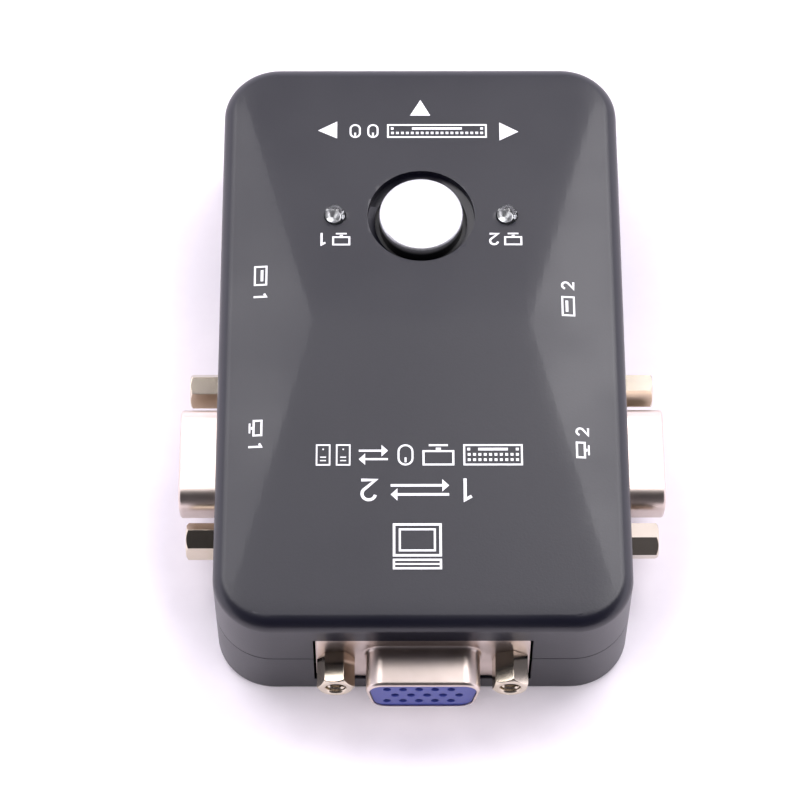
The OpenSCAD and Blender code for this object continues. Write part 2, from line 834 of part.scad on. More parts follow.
capacitors();
resistors();
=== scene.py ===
# %% [markdown]
# # A push-button KVM switch
# A KVM switch is a flat plastic box that lets two computers share one keyboard, mouse and monitor.
# The model from the CAD side is loaded first and never moved. Everything below either gives one of
# its parts a material, or builds a finer piece that stands in for it.
# %% Load the frame
import json
import math

import bmesh
import bpy
from mathutils import Matrix, Vector


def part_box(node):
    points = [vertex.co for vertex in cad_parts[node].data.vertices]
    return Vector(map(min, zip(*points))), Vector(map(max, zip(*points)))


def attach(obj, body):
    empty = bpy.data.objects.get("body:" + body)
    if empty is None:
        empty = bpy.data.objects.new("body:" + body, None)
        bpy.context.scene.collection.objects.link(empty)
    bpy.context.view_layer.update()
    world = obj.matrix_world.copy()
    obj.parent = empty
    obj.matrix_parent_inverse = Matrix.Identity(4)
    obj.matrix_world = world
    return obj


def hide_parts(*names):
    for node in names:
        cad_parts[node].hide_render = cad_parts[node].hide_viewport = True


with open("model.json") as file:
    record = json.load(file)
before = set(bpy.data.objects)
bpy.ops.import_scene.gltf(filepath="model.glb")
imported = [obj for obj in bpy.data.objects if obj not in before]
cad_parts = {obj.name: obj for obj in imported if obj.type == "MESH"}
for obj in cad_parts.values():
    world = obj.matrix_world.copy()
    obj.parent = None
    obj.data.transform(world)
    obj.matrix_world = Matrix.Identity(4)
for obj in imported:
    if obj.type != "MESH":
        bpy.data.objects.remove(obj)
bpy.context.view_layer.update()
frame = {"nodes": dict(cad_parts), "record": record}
NODES = frame["nodes"]
MM = 0.001
print("parts in the frame:", len(NODES))

# %% [markdown]
# ## Measures
# Some sizes that the finer pieces need are read from the loaded parts and their mounts, and the
# rest are given as numbers, the standard sizes of the sockets among them. The case is 60 mm wide,
# so half of that is where the side walls stand.
# %% Measures of the case
top_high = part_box("top_shell")[1]
button_low, button_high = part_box("select_button")
MOUNT_AT = {m["name"]: m["pos_m"] for m in frame["record"]["mounts"]}
HALF_W = top_high.x
HALF_L = top_high.y
RIDGE_Z = top_high.z
RIM_Z = 21.5 * MM
EDGE_R = 2.0 * MM
CORNER_R = 8.5 * MM
RIDGE_Y = 1.5 * MM
RIDGE_HALF_W = 16 * MM
CROWN = RIDGE_Z - RIM_Z
BUTTON_Y = (button_low.y + button_high.y) / 2
print("case, mm:", [round(v / MM, 2) for v in (2 * HALF_W, 2 * HALF_L, RIDGE_Z)])

# %% [markdown]
# ## Camera
# A long lens keeps the case's sides nearly parallel. The camera stands half a metre away, on the
# monitor socket's side, and looks down at about 60 degrees. It is placed by the point it looks at,
# its distance and its two angles.
# %% Camera
LOOK_AT = Vector((-3.17, 0.58, 0)) * MM
CAMERA_DISTANCE = 523.5 * MM
CAMERA_ELEVATION = math.radians(61.47)
CAMERA_YAW = math.radians(-0.27)
CAMERA_ROLL = math.radians(0.17)
LENS = 153.9
away = Vector((
    math.sin(CAMERA_YAW) * math.cos(CAMERA_ELEVATION),
    -math.cos(CAMERA_YAW) * math.cos(CAMERA_ELEVATION),
    math.sin(CAMERA_ELEVATION),
))
camera = bpy.data.objects.new("camera", bpy.data.cameras.new("camera"))
bpy.context.scene.collection.objects.link(camera)
camera.data.lens = LENS
camera.data.sensor_width = 36
camera.data.clip_start, camera.data.clip_end = 0.01, 20
turn = away.to_track_quat("Z", "Y").to_matrix().to_4x4() @ Matrix.Rotation(CAMERA_ROLL, 4, "Z")
camera.matrix_world = Matrix.Translation(LOOK_AT + away * CAMERA_DISTANCE) @ turn
bpy.context.scene.camera = camera
print("camera at, mm:", [round(v / MM, 1) for v in camera.location])

# %% [markdown]
# ## Material helper
# A procedural material is a small graph of nodes. One helper adds a node, sets its settings, and
# fills its inputs with numbers or with links from other nodes. Colours are written as the hex
# values a painter would pick on screen, and one function turns them into linear light.
# %% Material helper
def linear(hex_colour):
    parts = [int(hex_colour[i:i + 2], 16) / 255 for i in (1, 3, 5)]
    return [c / 12.92 if c <= 0.04045 else ((c + 0.055) / 1.055) ** 2.4 for c in parts] + [1.0]


def add(tree, kind, settings=None, inputs=None):
    """Adds one node. Each input takes a value, or the output socket that it is linked to."""
    made = tree.nodes.new(kind)
    for name, value in (settings or {}).items():
        setattr(made, name, value)
    for name, value in (inputs or {}).items():
        if isinstance(value, bpy.types.NodeSocket):
            tree.links.new(value, made.inputs[name])
        else:
            made.inputs[name].default_value = value
    return made


def new_material(name):
    """An empty material, its node tree and the place coordinates of the piece, in metres."""
    material = bpy.data.materials.new(name)
    material.use_nodes = True
    tree = material.node_tree
    tree.nodes.clear()
    place = add(tree, "ShaderNodeTexCoord").outputs["Object"]
    return material, tree, place


def finish_material(tree, shader):
    add(tree, "ShaderNodeOutputMaterial", inputs={"Surface": shader.outputs[0]})


def per_metre(millimetres):
    """Texture scale whose features are about that many millimetres across."""
    return 1 / (millimetres * MM)


print("a near-black, linear:", [round(c, 4) for c in linear("#0b0b14")[:3]])

# %% [markdown]
# ## Case plastic
# The case halves are injection-moulded ABS coloured with carbon black. The steel mould was
# spark-eroded, which leaves a fine even grain of about a tenth of a millimetre that turns gloss
# into satin. The grain is a noise bump, drawn a little coarser than real so that it shows, and
# broad faint clouds vary the roughness as handling and flow in the mould do.
# %% Case plastic: spark-grained black ABS
def case_plastic():
    material, tree, place = new_material("abs_black_spark_grain")
    grain = add(tree, "ShaderNodeTexNoise", inputs={
        "Vector": place, "Scale": per_metre(0.35), "Detail": 3, "Roughness": 0.6})
    clouds = add(tree, "ShaderNodeTexNoise", inputs={
        "Vector": place, "Scale": per_metre(18), "Detail": 2})
    rough = add(tree, "ShaderNodeMapRange", inputs={
        "Value": clouds.outputs["Fac"], "From Min": 0.35, "From Max": 0.65,
        "To Min": 0.32, "To Max": 0.38})
    tone = add(tree, "ShaderNodeMix", {"data_type": "RGBA"}, {
        "Factor": grain.outputs["Fac"], "A": linear("#0b0b14"), "B": linear("#11111e")})
    bump = add(tree, "ShaderNodeBump", inputs={
        "Strength": 0.5, "Distance": 0.02 * MM, "Height": grain.outputs["Fac"]})
    shader = add(tree, "ShaderNodeBsdfPrincipled", inputs={
        "Base Color": tone.outputs["Result"], "Roughness": rough.outputs["Result"],
        "IOR": 1.53, "Normal": bump.outputs["Normal"]})
    finish_material(tree, shader)
    return material


ABS_BLACK = case_plastic()
print("made", ABS_BLACK.name)

# %% [markdown]
# ## Plated steel
# The sockets' shells and flanges are pressed from thin steel and plated with bright nickel, which
# is a little yellower than chrome. Rolling leaves fine streaks, and plating softens them, so the
# reflection is sharp in one direction and slightly smeared in the other. A stretched noise gives
# the streaks, and a wide, weak one gives the waviness of pressed sheet. A metal's own tint is its
# base colour, and its index of refraction stays at the default.
# %% Plated steel: bright nickel on rolled sheet
def nickel_plate(name, tint_light, tint_dark, rough_low, rough_high):
    material, tree, place = new_material(name)
    stretched = add(tree, "ShaderNodeMapping", inputs={
        "Vector": place, "Scale": (1, 1, 0.12)})
    streaks = add(tree, "ShaderNodeTexNoise", inputs={
        "Vector": stretched.outputs[0], "Scale": per_metre(0.25), "Detail": 4, "Roughness": 0.7})
    waves = add(tree, "ShaderNodeTexNoise", inputs={
        "Vector": place, "Scale": per_metre(4), "Detail": 2})
    tint = add(tree, "ShaderNodeMix", {"data_type": "RGBA"}, {
        "Factor": waves.outputs["Fac"], "A": linear(tint_dark), "B": linear(tint_light)})
    rough = add(tree, "ShaderNodeMapRange", inputs={
        "Value": streaks.outputs["Fac"], "From Min": 0.3, "From Max": 0.7,
        "To Min": rough_low, "To Max": rough_high})
    ripple = add(tree, "ShaderNodeBump", inputs={
        "Strength": 0.3, "Distance": 0.05 * MM, "Height": waves.outputs["Fac"]})
    bump = add(tree, "ShaderNodeBump", inputs={
        "Strength": 0.15, "Distance": 0.004 * MM, "Height": streaks.outputs["Fac"],
        "Normal": ripple.outputs["Normal"]})
    shader = add(tree, "ShaderNodeBsdfPrincipled", inputs={
        "Base Color": tint.outputs["Result"], "Metallic": 1.0,
        "Roughness": rough.outputs["Result"], "Normal": bump.outputs["Normal"]})
    finish_material(tree, shader)
    return material


NICKEL = nickel_plate("nickel_plated_pressed_steel", "#dccfc8", "#c8bab0", 0.3, 0.42)
TURNED_NICKEL = nickel_plate("nickel_plated_turned_brass", "#ddd3c4", "#c9bda8", 0.14, 0.24)
TINNED = nickel_plate("tinned_steel", "#cfcfcd", "#b9b9b8", 0.25, 0.4)
SCREW_STEEL = nickel_plate("black_nickel_screw_steel", "#6d6a68", "#5a5755", 0.25, 0.4)
print("made", NICKEL.name, TURNED_NICKEL.name, TINNED.name, SCREW_STEEL.name)

# %% [markdown]
# ## Silver button coating
# The button is moulded in black ABS and sprayed with a silver lacquer. The lacquer carries fine
# aluminium flakes that lie almost flat, so it looks like satin metal with a faint sparkle. Small
# cells tilt the normal a little, one flake at a time, and a slight noise keeps the tone alive. Down
# the button's side the silver gives way to black, a painted shade for the dark gap round the
# button.
# %% Silver button coating: aluminium-flake lacquer on ABS
# Painted shade: the depths below the button's top where its side starts to turn black and where it
# is fully black.
PAINTED_SHADE_FROM, PAINTED_SHADE_FULL = 0.5 * MM, 1.6 * MM


def flake_lacquer():
    material, tree, place = new_material("silver_flake_lacquer_painted_shade_skirt")
    flakes = add(tree, "ShaderNodeTexVoronoi", inputs={
        "Vector": place, "Scale": per_metre(0.22)})
    haze = add(tree, "ShaderNodeTexNoise", inputs={
        "Vector": place, "Scale": per_metre(2.5), "Detail": 4})
    tint = add(tree, "ShaderNodeMix", {"data_type": "RGBA"}, {
        "Factor": flakes.outputs["Color"], "A": linear("#c6c6c9"), "B": linear("#dcdcdf")})
    rough = add(tree, "ShaderNodeMapRange", inputs={
        "Value": haze.outputs["Fac"], "To Min": 0.36, "To Max": 0.46})
    bump = add(tree, "ShaderNodeBump", inputs={
        "Strength": 0.2, "Distance": 0.01 * MM, "Height": flakes.outputs["Distance"]})
    lacquer = add(tree, "ShaderNodeBsdfPrincipled", inputs={
        "Base Color": tint.outputs["Result"], "Metallic": 0.85,
        "Roughness": rough.outputs["Result"], "Normal": bump.outputs["Normal"]})
    # Painted shade: the black of the button's lower side and skirt, standing for the shade in the
    # gap round it.
    painted_shade_black = add(tree, "ShaderNodeBsdfPrincipled", inputs={
        "Base Color": linear("#0d0d10"), "Roughness": rough.outputs["Result"], "IOR": 1.53,
        "Normal": bump.outputs["Normal"]})
    height = add(tree, "ShaderNodeSeparateXYZ", inputs={"Vector": place}).outputs["Z"]
    # The mask runs from the painted shade low on the button to the lacquer at its top.
    lacquer_vs_painted_shade = add(tree, "ShaderNodeMapRange", {"interpolation_type": "SMOOTHSTEP"}, {
        "Value": height, "From Min": button_high.z - PAINTED_SHADE_FULL,
        "From Max": button_high.z - PAINTED_SHADE_FROM})
    both = add(tree, "ShaderNodeMixShader", inputs={
        0: lacquer_vs_painted_shade.outputs["Result"], 1: painted_shade_black.outputs[0], 2: lacquer.outputs[0]})
    finish_material(tree, both)
    return material


SILVER = flake_lacquer()
print("made", SILVER.name)

# %% [markdown]
# ## Moulded plastics
# The insulators, the switch, the chips and the board are all plain resins that differ in colour,
# gloss and grain. One function covers them: two close tones mixed by a fine noise, as pigment and
# filler do, and a shallow bump from the mould's surface.
# %% Moulded plastics
def resin(name, light, dark, grain_mm, roughness, ior=1.5):
    material, tree, place = new_material(name)
    grain = add(tree, "ShaderNodeTexNoise", inputs={
        "Vector": place, "Scale": per_metre(grain_mm), "Detail": 4, "Roughness": 0.65})
    tone = add(tree, "ShaderNodeMix", {"data_type": "RGBA"}, {
        "Factor": grain.outputs["Fac"], "A": linear(dark), "B": linear(light)})
    rough = add(tree, "ShaderNodeMapRange", inputs={
        "Value": grain.outputs["Fac"], "From Min": 0.3, "From Max": 0.7,
        "To Min": roughness - 0.05, "To Max": roughness + 0.05})
    bump = add(tree, "ShaderNodeBump", inputs={
        "Strength": 0.2, "Distance": 0.01 * MM, "Height": grain.outputs["Fac"]})
    shader = add(tree, "ShaderNodeBsdfPrincipled", inputs={
        "Base Color": tone.outputs["Result"], "Roughness": rough.outputs["Result"],
        "IOR": ior, "Normal": bump.outputs["Normal"]})
    finish_material(tree, shader)
    return material


BLUE_PBT = resin("blue_glass_filled_pbt", "#444c98", "#363f88", 0.3, 0.42, 1.55)
WHITE_PBT = resin("white_glass_filled_pbt", "#e2dfd6", "#d3cfc4", 0.3, 0.4, 1.55)
BLACK_RESIN = resin("black_moulded_resin", "#1b1b1d", "#101012", 0.2, 0.5)
CHIP_EPOXY = resin("black_chip_epoxy", "#232323", "#181818", 0.12, 0.6)
SOLDER_MASK = resin("green_solder_mask_on_glass_epoxy", "#1a6a3e", "#125430", 1.2, 0.3)
INK = resin("white_pad_print_ink", "#f0f0f2", "#e2e2e6", 0.25, 0.55)
print("made", ", ".join(m.name for m in (BLUE_PBT, WHITE_PBT, BLACK_RESIN, CHIP_EPOXY, INK)))

# %% [markdown]
# ## Contacts, cans and clear resin
# Contacts are springy bronze with a flash of gold. The capacitors' cans are drawn aluminium. The
# lights are cast in clear epoxy, a dense resin that bends light strongly.
# %% Contacts, cans and clear resin
GOLD_FLASH = nickel_plate("gold_flash_on_phosphor_bronze", "#dcb869", "#c9a050", 0.2, 0.35)
ALUMINIUM = nickel_plate("drawn_aluminium_can", "#d0d1d3", "#bcbdc0", 0.3, 0.45)


def clear_epoxy():
    material, tree, place = new_material("clear_cast_epoxy")
    haze = add(tree, "ShaderNodeTexNoise", inputs={
        "Vector": place, "Scale": per_metre(0.8), "Detail": 3})
    rough = add(tree, "ShaderNodeMapRange", inputs={
        "Value": haze.outputs["Fac"], "To Min": 0.02, "To Max": 0.08})
    shader = add(tree, "ShaderNodeBsdfPrincipled", inputs={
        "Base Color": linear("#cfd2d4"), "Transmission Weight": 0.94,
        "Roughness": rough.outputs["Result"], "IOR": 1.54})
    finish_material(tree, shader)
    return material


CLEAR_EPOXY = clear_epoxy()
print("made", GOLD_FLASH.name, ALUMINIUM.name, CLEAR_EPOXY.name)

# %% [markdown]
# ## Finishes of the loaded parts
# Every loaded part gets the material it is really made of. The rule is by the end of its name, so
# the three monitor sockets and the five USB sockets are covered by a few lines.
# %% Finishes of the loaded parts
FINISH_BY_NAME = {
    "top_shell": ABS_BLACK, "bottom_shell": ABS_BLACK, "case_screws": SCREW_STEEL,
    "circuit_board": SOLDER_MASK, "select_button": SILVER, "switch_body": BLACK_RESIN,
    "switch_cover": TINNED, "switch_plunger": WHITE_PBT, "switch_pins": TINNED,
    "led_1": CLEAR_EPOXY, "led_2": CLEAR_EPOXY, "led_leads": TINNED, "controller_chip": CHIP_EPOXY,
    "switch_chips": CHIP_EPOXY, "chip_legs": TINNED, "crystal": TINNED, "capacitors": ALUMINIUM,
    "resistors": BLACK_RESIN,
}
FINISH_BY_ENDING = {
    "_vga_insulator": BLUE_PBT, "_vga_body": BLUE_PBT, "_shell": NICKEL, "_brackets": NICKEL,
    "_jackscrews": TURNED_NICKEL, "_contacts": GOLD_FLASH, "_tongue": WHITE_PBT,
    "_usb_insulator": WHITE_PBT,
}


def finish_of(name):
    if name in FINISH_BY_NAME:
        return FINISH_BY_NAME[name]
    return next(m for ending, m in FINISH_BY_ENDING.items() if name.endswith(ending))


for name, part in NODES.items():
    part.data.materials.clear()
    part.data.materials.append(finish_of(name))
print("finished", len(NODES), "parts")

# %% [markdown]
# ## Working copies
# No moulded or pressed edge is perfectly sharp: a radius of a tenth of a millimetre catches a thin
# line of light. The loaded meshes must stay as they are, so a finer piece is a copy: its points are
# merged, flat neighbours are joined, and its sharp edges get a small bevel. Large faces set the
# shading, so that a flat face stays evenly lit right up to its rounded edge. The copy then stands
# for the loaded part.
# %% Helper: make a piece from a bmesh
BODIES = frame["record"]["behaviour"]["bodies"]
BODY_OF_NODE = {node: body for body, names in BODIES.items() for node in names}
WELD, FLAT_WITHIN = 0.0005 * MM, math.radians(0.5)


def make_piece(name, mesh_edit, material, sharp_degrees=32):
    mesh = bpy.data.meshes.new(name)
    mesh_edit.to_mesh(mesh)
    mesh_edit.free()
    mesh.materials.append(material)
    mesh.shade_smooth()
    mesh.set_sharp_from_angle(angle=math.radians(sharp_degrees))
    piece = bpy.data.objects.new(name, mesh)
    bpy.context.scene.collection.objects.link(piece)
    return piece


def keep_flats_flat(piece):
    """Stops a rounded edge from shading the flat face beside it."""
    large_faces_first = piece.modifiers.new("large faces first", "WEIGHTED_NORMAL")
    large_faces_first.keep_sharp = True
    return piece


def stand_for(piece, node):
    """The piece takes the place of one loaded part: its body and its shape."""
    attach(piece, BODY_OF_NODE[node])
    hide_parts(node)


def welded_copy(node):
    """The part's mesh as a bmesh, with its split points merged and its flat faces joined."""
    edit = bmesh.new()
    edit.from_mesh(NODES[node].data)
    for layer in list(edit.loops.layers.float_vector.values()):
        edit.loops.layers.float_vector.remove(layer)
    bmesh.ops.remove_doubles(edit, verts=edit.verts, dist=WELD)
    bmesh.ops.dissolve_limit(edit, angle_limit=FLAT_WITHIN, verts=edit.verts, edges=edit.edges)
    return edit


def round_edges(edit, radius, segments=2, sharper_than=34):
    """Bevels every edge where two faces meet at more than that many degrees."""
    limit = math.radians(sharper_than)
    edges = [e for e in edit.edges if e.is_manifold and e.calc_face_angle() > limit]
    bmesh.ops.bevel(edit, geom=edges, offset=radius, segments=segments, profile=0.5,
                    affect="EDGES", clamp_overlap=True)


def soften(node, radius, segments=2):
    """Puts a copy with rounded edges in the place of a loaded part."""
    edit = welded_copy(node)
    round_edges(edit, radius, segments)
    piece = keep_flats_flat(make_piece(node + "_finish", edit, finish_of(node)))
    stand_for(piece, node)
    print(node, "softened by", radius / MM, "mm:", len(piece.data.polygons), "faces")


# %% [markdown]
# ## Top of the case
# The top is a shallow roof: a long facet falls towards each end, and a triangular one towards each
# side. The loaded part has them as flat planes that meet in sharp lines, but the mould was polished
# there, so the real creases are soft. The copy's top is cut into a grid, and each point is set to a
# height where the facets blend over a couple of millimetres. The ledge round the button's hole
# falls inwards a little.
# %% Top of the case
CREASE, RIDGE_SOFT = 0.035 * MM, 1.2 * MM
GRID_STEP = 1.25 * MM
NEAR, THIN_CUT = 0.1 * MM, 1e-7
HOLE_R, LEDGE_Z, LEDGE_FALL = 6.95 * MM, 20.8 * MM, 0.6 * MM


def blend_lower(a, b, soft):
    """The lower of two heights, rounded off where they cross."""
    low, gap = min(a, b), abs(a - b)
    return low - soft * math.log1p(math.exp(-gap / soft))


def inside_rim(x, y):
    """Distance from a point on the top to the inner line of the rounded rim."""
    dx = abs(x) - (HALF_W - CORNER_R)
    dy = abs(y) - (HALF_L - CORNER_R)
    flat = CORNER_R - EDGE_R
    return flat - math.hypot(max(dx, 0), max(dy, 0)) - min(max(dx, dy), 0)


def top_height(x, y):
    """Height of the top's surface: the lowest of the end facets, the side facets and the rim."""
    run = HALF_L - EDGE_R - (RIDGE_Y if y > RIDGE_Y else -RIDGE_Y)
    along = math.hypot(abs(y - RIDGE_Y), RIDGE_SOFT) - RIDGE_SOFT
    by_end = RIDGE_Z - CROWN * along / run
    side_run = HALF_W - EDGE_R - RIDGE_HALF_W
    by_side = RIDGE_Z - CROWN * (abs(x) - RIDGE_HALF_W) / side_run
    by_rim = RIM_Z + CROWN / side_run * max(inside_rim(x, y), 0)
    return min(blend_lower(by_end, by_side, CREASE), by_rim)


def is_roof(face):
    return face.normal.z > 0.98 and face.calc_center_median().z > RIM_Z - NEAR


def settle_roof(edit):
    """Sets every point of the roof inside the rim to the blended height."""
    for v in {v for f in edit.faces if is_roof(f) for v in f.verts}:
        if inside_rim(v.co.x, v.co.y) > -0.01 * MM:
            v.co.z = top_height(v.co.x, v.co.y)


def slope_ledge(edit):
    """Lowers the inner edge of the ledge round the button, so that it falls inwards."""
    for v in edit.verts:
        from_axis = math.hypot(v.co.x, v.co.y - BUTTON_Y)
        if abs(from_axis - HOLE_R) < NEAR and abs(v.co.z - LEDGE_Z) < NEAR:
            v.co.z -= LEDGE_FALL


def build_top():
    edit = welded_copy("top_shell")
    settle_roof(edit)
    bmesh.ops.remove_doubles(edit, verts=edit.verts, dist=0.003 * MM)
    bmesh.ops.dissolve_degenerate(edit, dist=0.002 * MM, edges=edit.edges)
    for axis, half in ((0, HALF_W - EDGE_R), (1, HALF_L - EDGE_R)):
        steps = round(2 * half / GRID_STEP)
        for i in range(1, steps):
            roof = [f for f in edit.faces if is_roof(f)]
            edges = {e for f in roof for e in f.edges}
            verts = {v for f in roof for v in f.verts}
            spot, normal = [0, 0, 0], [0, 0, 0]
            spot[axis] = -half + 2 * half * i / steps
            normal[axis] = 1
            bmesh.ops.bisect_plane(edit, geom=roof + list(edges) + list(verts), dist=THIN_CUT,
                                   plane_co=spot, plane_no=normal)
    settle_roof(edit)
    slope_ledge(edit)
    round_edges(edit, 0.15 * MM, sharper_than=40)
    return keep_flats_flat(make_piece("case_top", edit, ABS_BLACK, 25))


case_top = build_top()
stand_for(case_top, "top_shell")
print("top faces:", len(case_top.data.polygons))

# %% [markdown]
# ## Other softened parts
# The bottom shell's window edges, the turned jackscrews and the folded USB shells get their small
# edge radii the same way. The radii follow how each is made: a moulded edge is rounder than a
# sheared one.
# %% Other softened parts
soften("bottom_shell", 0.15 * MM)
for socket in ("monitor", "pc1", "pc2"):
    soften(socket + "_vga_jackscrews", 0.1 * MM)
for socket in ("end", "left", "right", "pc1", "pc2"):
    soften(socket + "_usb_shell", 0.07 * MM)
soften("case_screws", 0.08 * MM)

# %% [markdown]
# ## Monitor socket shells
# The shell of a monitor socket is deep-drawn from sheet steel: it leaves the flange with a round
# root and its rim is rolled inwards. It is built as one outline, the keystone D of the plug,
# repeated at growing distances along the draw. The flange is the loaded part's own, cut off just
# behind its front face and given sheared, slightly rounded edges.
# %% Monitor socket shells
D_W, D_H, D_R = 16.33 * MM, 7.9 * MM, 2.5 * MM
D_REACH, D_PLATE, D_ROOT_R = 6 * MM, 0.5 * MM, 0.5 * MM
D_SLOPE = math.radians(10)
FLANGE_T, FLANGE_INSET = 0.8 * MM, 0.3 * MM
VGA_Z = MOUNT_AT["monitor_plug_screws"][2]
SIDE_VGA_Y = MOUNT_AT["pc1_plug_screws"][1]


def facing_out(quarter_turns, along, height, half):
    """The place of a socket that is drawn facing -Y with its flange's face at the origin."""
    turn = Matrix.Rotation(math.radians(90 * quarter_turns), 4, "Z")
    out = turn @ Vector((0, -(half - FLANGE_INSET), 0))
    side = Vector((0, along, height)) if quarter_turns else Vector((along, 0, height))
    return Matrix.Translation(out + side) @ turn


VGA_PLACES = {
    "monitor": facing_out(0, 0, VGA_Z, HALF_L),
    "pc1": facing_out(-1, SIDE_VGA_Y, VGA_Z, HALF_W),
    "pc2": facing_out(1, SIDE_VGA_Y, VGA_Z, HALF_W),
}


def d_outline(grow, steps=9):
    """Points of the D outline, moved out by a distance, anticlockwise from the right-hand side."""
    half_h, half_w = D_H / 2 - D_R, D_W / 2 - D_R
    low_w = half_w - 2 * half_h * math.tan(D_SLOPE)
    lean = math.degrees(D_SLOPE)
    corners = ((half_w, half_h, -lean, 90), (-half_w, half_h, 90, 180 + lean),
               (-low_w, -half_h, 180 + lean, 270), (low_w, -half_h, 270, 360 - lean))
    points = []
    for x, z, start, end in corners:
        for i in range(steps + 1):
            a = math.radians(start + (end - start) * i / steps)
            points.append((x + (D_R + grow) * math.cos(a), z + (D_R + grow) * math.sin(a)))
    return points


def loft(edit, rings):
    """Joins rings of points by bands of faces. Each ring is a distance outwards and a depth."""
    rows = [[edit.verts.new((x, depth, z)) for x, z in d_outline(grow)] for grow, depth in rings]
    for low_row, high_row in zip(rows, rows[1:]):
        for i in range(len(low_row)):
            j = (i + 1) % len(low_row)
            edit.faces.new((low_row[i], low_row[j], high_row[j], high_row[i]))


def shell_rings():
    """The draw from the flange's root to the rolled rim, and then the bore back to the flange."""
    quarter = [math.radians(90 * i / 6) for i in range(7)]
    root = [(D_ROOT_R * (1 - math.sin(a)), -D_ROOT_R * (1 - math.cos(a))) for a in quarter]
    rim = [(-D_PLATE * (1 - math.cos(a)), -D_REACH + D_PLATE * (1 - math.sin(a))) for a in quarter]
    return root + rim + [(-D_PLATE, FLANGE_T)]


def build_vga_shell(socket):
    node = socket + "_vga_shell"
    edit = welded_copy(node)
    edit.transform(VGA_PLACES[socket].inverted())
    everything = list(edit.verts) + list(edit.edges) + list(edit.faces)
    cut = bmesh.ops.bisect_plane(edit, geom=everything, dist=THIN_CUT, plane_no=(0, -1, 0),
                                 plane_co=(0, 0.02 * MM, 0), clear_outer=True)
    rim = [e for e in cut["geom_cut"] if isinstance(e, bmesh.types.BMEdge)]
    bmesh.ops.triangle_fill(edit, edges=rim, use_beauty=True, use_dissolve=True,
                            normal=(0, -1, 0))
    round_edges(edit, 0.12 * MM, 3)
    loft(edit, shell_rings())
    bmesh.ops.recalc_face_normals(edit, faces=edit.faces)
    edit.transform(VGA_PLACES[socket])
    stand_for(make_piece(node + "_drawn", edit, NICKEL), node)


for socket in VGA_PLACES:
    build_vga_shell(socket)
    soften(socket + "_vga_insulator", 0.07 * MM, 1)
print("drawn shells:", len(VGA_PLACES))

# %% [markdown]
# ## Threads
# Each jackscrew is tapped for the cable's thumbscrews, 40 threads to the inch. The thread is a
# helical groove: points are set round a tube, and their radius rises and falls once per pitch while
# it advances by one pitch per turn.
# %% Threads in the jackscrews
THREAD_PITCH = 0.635 * MM
THREAD_OUT_R, THREAD_IN_R = 1.41 * MM, 1.16 * MM
THREAD_START, THREAD_DEPTH, CREST_SHARPNESS = 0.3 * MM, 3.9 * MM, 2.6
HEX_H = 4.8 * MM
SCREW_SPACING = 24.99 * MM


def thread(edit, x):
    """One tapped hole whose axis stands at x and runs inwards from the hexagon's face."""
    around, per_pitch = 36, 8
    rows = round(THREAD_DEPTH / THREAD_PITCH * per_pitch)
    grid = []
    for row in range(rows + 1):
        depth = -HEX_H + THREAD_START + row * THREAD_PITCH / per_pitch
        ring = []
        for i in range(around):
            phase = (row / per_pitch + i / around) % 1
            crest = max(0, 1 - abs(phase - 0.5) * CREST_SHARPNESS)
            r = THREAD_OUT_R - (THREAD_OUT_R - THREAD_IN_R) * crest
            a = 2 * math.pi * i / around
            ring.append(edit.verts.new((x + r * math.cos(a), depth, r * math.sin(a))))
        grid.append(ring)
    for low_row, high_row in zip(grid, grid[1:]):
        for i in range(around):
            j = (i + 1) % around
            edit.faces.new((low_row[i], low_row[j], high_row[j], high_row[i]))


for socket, place in VGA_PLACES.items():
    threads = bmesh.new()
    for side in (-1, 1):
        thread(threads, side * SCREW_SPACING / 2)
    threads.transform(place)
    piece = make_piece(socket + "_vga_threads", threads, TURNED_NICKEL, 60)
    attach(piece, "case")
print("threads per jackscrew:", round(THREAD_DEPTH / THREAD_PITCH, 1))

# %% [markdown]
# ## Printed marks
# White marks are pad-printed on the top, and each faces the side it is read from. Wide triangles
# point to the console sockets, and small pictures stand for what plugs in where: a keyboard, a
# mouse, a monitor, a computer. Every mark is drawn from two shapes, a band along a line of points
# and a filled polygon, and then laid on the sloping top as a film a few hundredths of a millimetre
# thick.
# %% Printed marks: drawing helpers
INK_T = 0.025 * MM
FINE = 0.28


def miter(before, at, after, half):
    """Offset of a band's edge at a point, so that the band keeps its width round the corner."""
    d0 = (at - before).normalized() if (at - before).length else (after - at).normalized()
    d1 = (after - at).normalized() if (after - at).length else d0
    n0, n1 = Vector((-d0.y, d0.x)), Vector((-d1.y, d1.x))
    across = (n0 + n1).normalized()
    return across * half / max(across.dot(n0), 0.5)


def band(points, width=0.3, closed=False):
    """Quads along a line of points."""
    p = [Vector(q) for q in points]
    n = len(p)
    sides = []
    for i in range(n):
        before = p[i - 1] if closed or i else p[i]
        after = p[(i + 1) % n] if closed or i < n - 1 else p[i]
        off = miter(before, p[i], after, width / 2)
        sides.append((p[i] + off, p[i] - off))
    pairs = list(zip(sides, sides[1:])) + ([(sides[-1], sides[0])] if closed else [])
    return [(a[0], a[1], b[1], b[0]) for a, b in pairs]


def box(x0, y0, x1, y1, width=0.3):
    """Outline of a rectangle, measured over its outside."""
    h = width / 2
    return band([(x0 + h, y0 + h), (x1 - h, y0 + h), (x1 - h, y1 - h), (x0 + h, y1 - h)],
                width, closed=True)


def dot(x, y, w, h):
    """A filled rectangle."""
    return [(Vector((x, y)), Vector((x + w, y)), Vector((x + w, y + h)), Vector((x, y + h)))]


def arc(x, y, r, start, end, steps=10):
    return [(x + r * math.cos(math.radians(start + (end - start) * i / steps)),
             y + r * math.sin(math.radians(start + (end - start) * i / steps)))
            for i in range(steps + 1)]


def moved(faces, x):
    """A mark further to the right on its own line."""
    return [tuple(Vector((x, 0)) + q for q in face) for face in faces]


